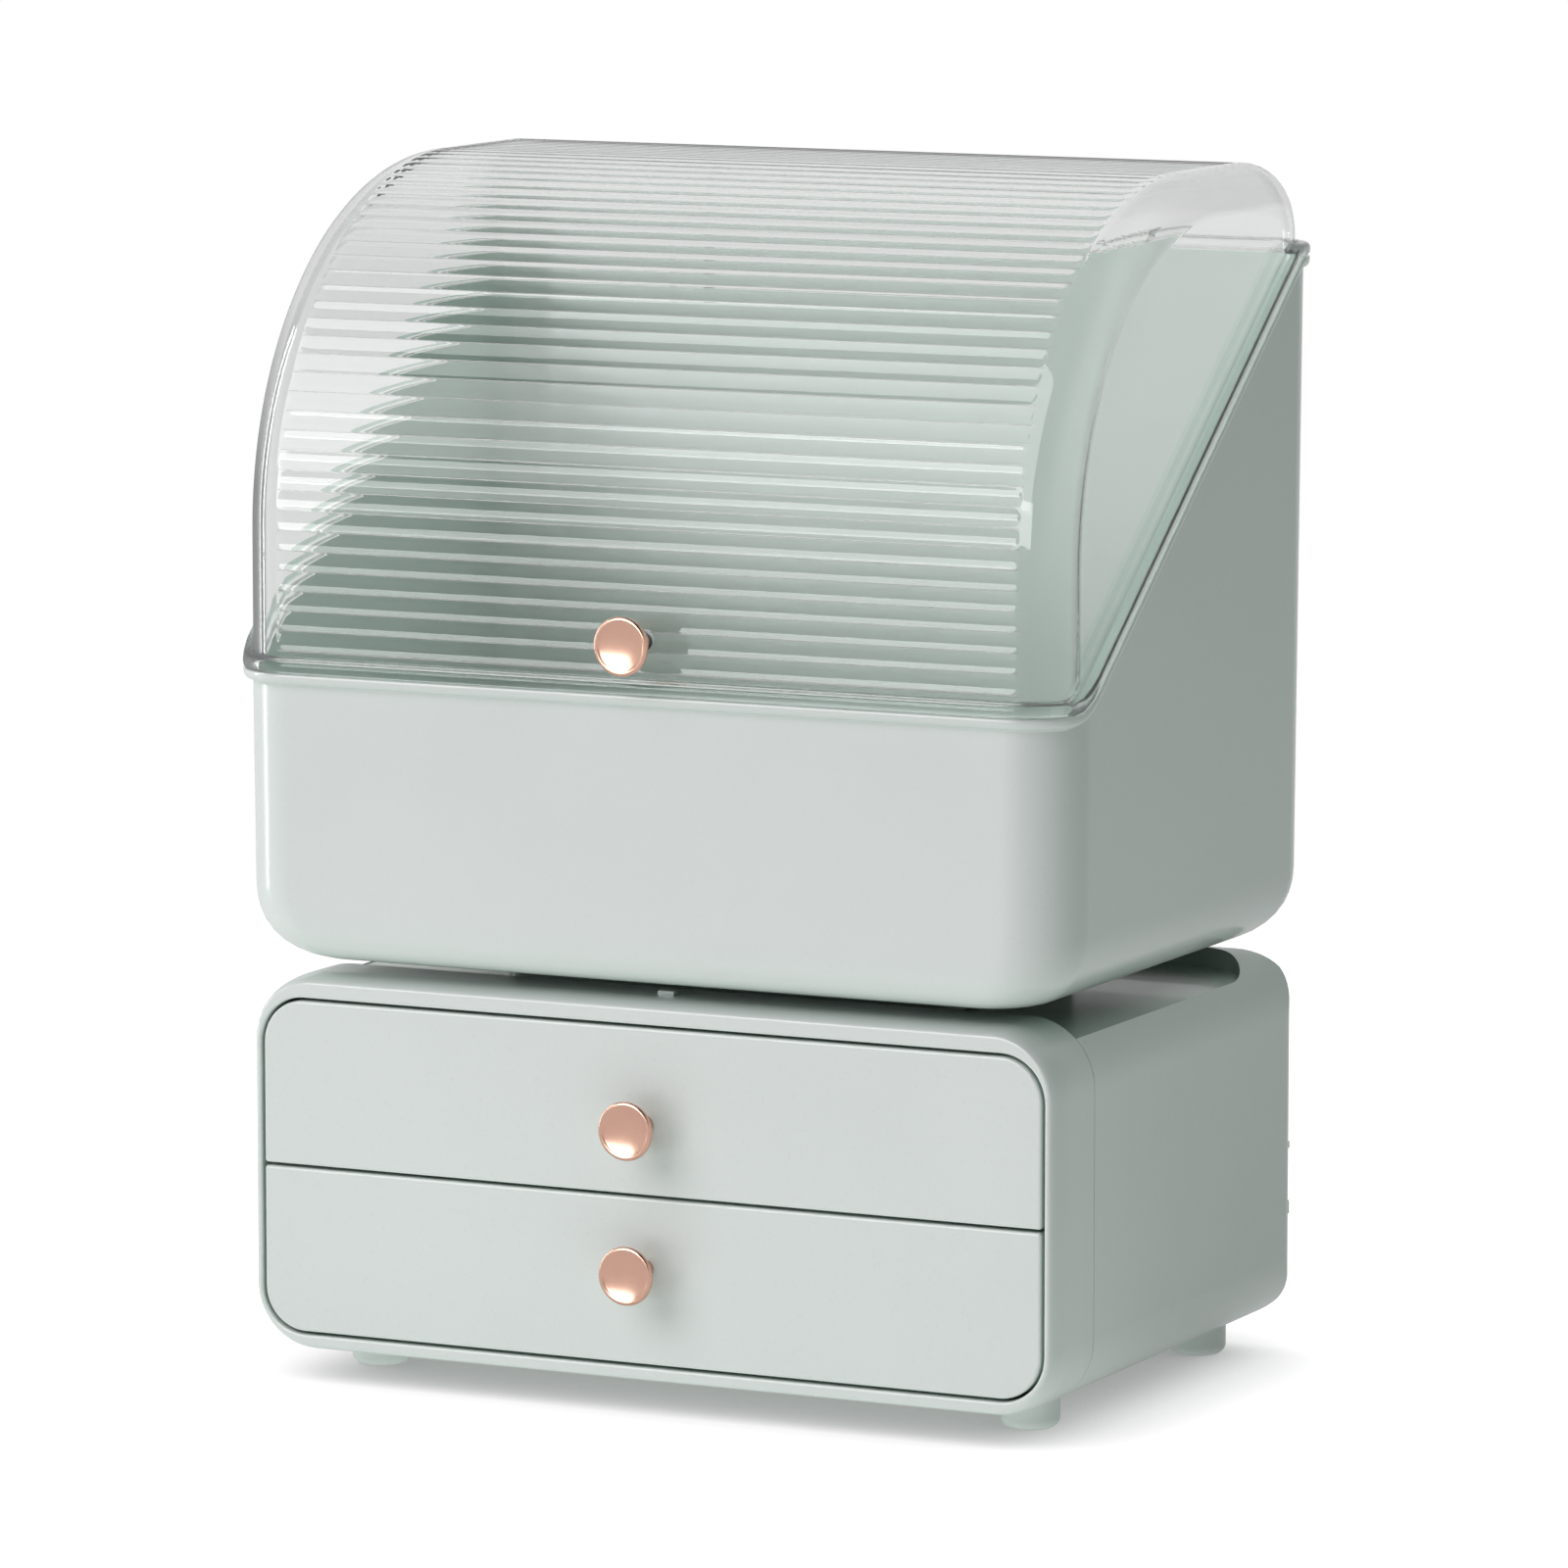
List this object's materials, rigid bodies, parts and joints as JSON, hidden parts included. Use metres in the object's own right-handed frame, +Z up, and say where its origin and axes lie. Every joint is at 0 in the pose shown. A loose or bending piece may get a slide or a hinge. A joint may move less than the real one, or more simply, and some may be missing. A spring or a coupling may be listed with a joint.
{
  "type": "makeup organizer",
  "caption": "Countertop makeup organizer: a cabinet with drawers carries an open-fronted bin under a hinged, fluted clear visor lid.",
  "frame": {"origin": "on the resting plane under the feet, at the middle of the bounding box", "axes": "+Z up, -Y towards the front, where the drawers pull out, +X to the right of someone who faces the front"},
  "size_m": [0.2756, 0.2048, 0.3595],
  "materials": {
    "sage_plastic": "glossy sage green",
    "inner_plastic": "semi-gloss sage green",
    "clear_plastic": "clear, fluted outside",
    "rose_gold": "polished rose gold plating",
    "steel": "bright zinc"
  },
  "bodies": {
    "cabinet": {"cabinet_shell": "sage_plastic", "front_bezel": "sage_plastic", "drawer_shelf": "inner_plastic", "foot_front_left": "sage_plastic", "foot_front_right": "sage_plastic", "foot_back_left": "sage_plastic", "foot_back_right": "sage_plastic"},
    "upper_drawer": {"upper_drawer_tray": "inner_plastic", "upper_drawer_front": "sage_plastic", "upper_drawer_knob": "rose_gold", "upper_drawer_screw": "steel"},
    "lower_drawer": {"lower_drawer_tray": "inner_plastic", "lower_drawer_front": "sage_plastic", "lower_drawer_knob": "rose_gold", "lower_drawer_screw": "steel"},
    "bin": {"bin": "sage_plastic", "hinge_pin_left": "steel", "hinge_pin_right": "steel"},
    "lid": {"lid": "clear_plastic", "lid_knob": "rose_gold", "lid_knob_screw": "steel"}
  },
  "joints": [
    {"name": "upper_drawer_slide", "type": "slide", "parent": "cabinet", "child": "upper_drawer", "axis": [0, -1, 0], "range_m": [0, 0.12]},
    {"name": "lower_drawer_slide", "type": "slide", "parent": "cabinet", "child": "lower_drawer", "axis": [0, -1, 0], "range_m": [0, 0.12]},
    {"name": "bin_lift", "type": "slide", "parent": "cabinet", "child": "bin", "axis": [0, 0, 1], "range_m": [0, 0.15]},
    {"name": "lid_hinge", "type": "hinge", "parent": "bin", "child": "lid", "pos_m": [0, 0.09845, 0.3244], "axis": [-1, 0, 0], "range_deg": [0, 105]}
  ]
}
